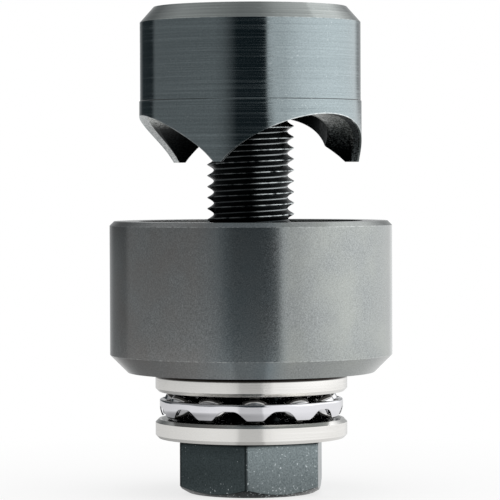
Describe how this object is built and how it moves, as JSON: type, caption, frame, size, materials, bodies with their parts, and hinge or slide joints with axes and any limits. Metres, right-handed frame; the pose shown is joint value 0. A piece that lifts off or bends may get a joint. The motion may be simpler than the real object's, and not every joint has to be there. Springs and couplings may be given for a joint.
{
  "type": "knockout punch",
  "caption": "Round knockout punch set: toothed hollow punch threaded on a hex draw bolt over a cup die, with a thrust ball bearing between the bolt head and the die.",
  "frame": {"origin": "middle of the draw bolt head's end face, which the set stands on", "axes": "+Z along the bolt, from its head towards the punch; +Y is away from a viewer at the picture's angle"},
  "size_m": [0.0516, 0.0516, 0.0884],
  "materials": {
    "bolt_steel": "blackened steel, rolled black thread, forged head",
    "race_steel": "ground and hardened bearing steel, bright",
    "cage_steel": "pressed steel sheet, tumbled bright",
    "ball_steel": "polished bearing steel",
    "die_steel": "blackened tool steel with a fine blasted grain",
    "punch_steel": "blackened tool steel, fine turned lines, satin"
  },
  "bodies": {
    "die": {"die": "die_steel", "upper_race": "race_steel"},
    "draw_bolt": {"draw_bolt": "bolt_steel", "lower_race": "race_steel"},
    "ball_cage": {"ball_cage": "cage_steel"},
    "punch": {"punch": "punch_steel"},
    "ball_01": {"ball_01": "ball_steel"},
    "ball_02": {"ball_02": "ball_steel"},
    "ball_03": {"ball_03": "ball_steel"},
    "ball_04": {"ball_04": "ball_steel"},
    "ball_05": {"ball_05": "ball_steel"},
    "ball_06": {"ball_06": "ball_steel"},
    "ball_07": {"ball_07": "ball_steel"},
    "ball_08": {"ball_08": "ball_steel"},
    "ball_09": {"ball_09": "ball_steel"},
    "ball_10": {"ball_10": "ball_steel"},
    "ball_11": {"ball_11": "ball_steel"}
  },
  "joints": [
    {"name": "draw_bolt_turn", "type": "hinge", "parent": "die", "child": "draw_bolt", "pos_m": [0, 0, 0.005], "axis": [0, 0, 1], "range_deg": [-1800, 4320]},
    {"name": "punch_travel", "type": "slide", "parent": "die", "child": "punch", "axis": [0, 0, -1], "range_m": [-0.01, 0.024]},
    {"name": "cage_roll", "type": "hinge", "parent": "die", "child": "ball_cage", "pos_m": [0, 0, 0.016], "axis": [0, 0, 1], "continuous": true},
    {"name": "ball_01_roll", "type": "hinge", "parent": "ball_cage", "child": "ball_01", "pos_m": [0.0005, -0.01299, 0.016], "axis": [0.0384, -0.9993, 0], "continuous": true},
    {"name": "ball_02_roll", "type": "hinge", "parent": "ball_cage", "child": "ball_02", "pos_m": [0.00744, -0.01066, 0.016], "axis": [0.5725, -0.8199, 0], "continuous": true},
    {"name": "ball_03_roll", "type": "hinge", "parent": "ball_cage", "child": "ball_03", "pos_m": [0.01202, -0.00494, 0.016], "axis": [0.9249, -0.3802, 0], "continuous": true},
    {"name": "ball_04_roll", "type": "hinge", "parent": "ball_cage", "child": "ball_04", "pos_m": [0.01279, 0.00234, 0.016], "axis": [0.9836, 0.1802, 0], "continuous": true},
    {"name": "ball_05_roll", "type": "hinge", "parent": "ball_cage", "child": "ball_05", "pos_m": [0.00949, 0.00888, 0.016], "axis": [0.7301, 0.6834, 0], "continuous": true},
    {"name": "ball_06_roll", "type": "hinge", "parent": "ball_cage", "child": "ball_06", "pos_m": [0.00318, 0.0126, 0.016], "axis": [0.2447, 0.9696, 0], "continuous": true},
    {"name": "ball_07_roll", "type": "hinge", "parent": "ball_cage", "child": "ball_07", "pos_m": [-0.00414, 0.01232, 0.016], "axis": [-0.3184, 0.948, 0], "continuous": true},
    {"name": "ball_08_roll", "type": "hinge", "parent": "ball_cage", "child": "ball_08", "pos_m": [-0.01014, 0.00813, 0.016], "axis": [-0.7803, 0.6254, 0], "continuous": true},
    {"name": "ball_09_roll", "type": "hinge", "parent": "ball_cage", "child": "ball_09", "pos_m": [-0.01293, 0.00135, 0.016], "axis": [-0.9946, 0.1042, 0], "continuous": true},
    {"name": "ball_10_roll", "type": "hinge", "parent": "ball_cage", "child": "ball_10", "pos_m": [-0.01161, -0.00585, 0.016], "axis": [-0.893, -0.45, 0], "continuous": true},
    {"name": "ball_11_roll", "type": "hinge", "parent": "ball_cage", "child": "ball_11", "pos_m": [-0.0066, -0.0112, 0.016], "axis": [-0.5079, -0.8614, 0], "continuous": true}
  ],
  "couplings": [
    {"joint": "punch_travel", "follows": "draw_bolt_turn", "m_per_rad": 0.00031831},
    {"joint": "cage_roll", "follows": "draw_bolt_turn", "ratio": 0.5},
    {"joint": "ball_01_roll", "follows": "draw_bolt_turn", "ratio": 2.0472},
    {"joint": "ball_02_roll", "follows": "draw_bolt_turn", "ratio": 2.0472},
    {"joint": "ball_03_roll", "follows": "draw_bolt_turn", "ratio": 2.0472},
    {"joint": "ball_04_roll", "follows": "draw_bolt_turn", "ratio": 2.0472},
    {"joint": "ball_05_roll", "follows": "draw_bolt_turn", "ratio": 2.0472},
    {"joint": "ball_06_roll", "follows": "draw_bolt_turn", "ratio": 2.0472},
    {"joint": "ball_07_roll", "follows": "draw_bolt_turn", "ratio": 2.0472},
    {"joint": "ball_08_roll", "follows": "draw_bolt_turn", "ratio": 2.0472},
    {"joint": "ball_09_roll", "follows": "draw_bolt_turn", "ratio": 2.0472},
    {"joint": "ball_10_roll", "follows": "draw_bolt_turn", "ratio": 2.0472},
    {"joint": "ball_11_roll", "follows": "draw_bolt_turn", "ratio": 2.0472}
  ]
}
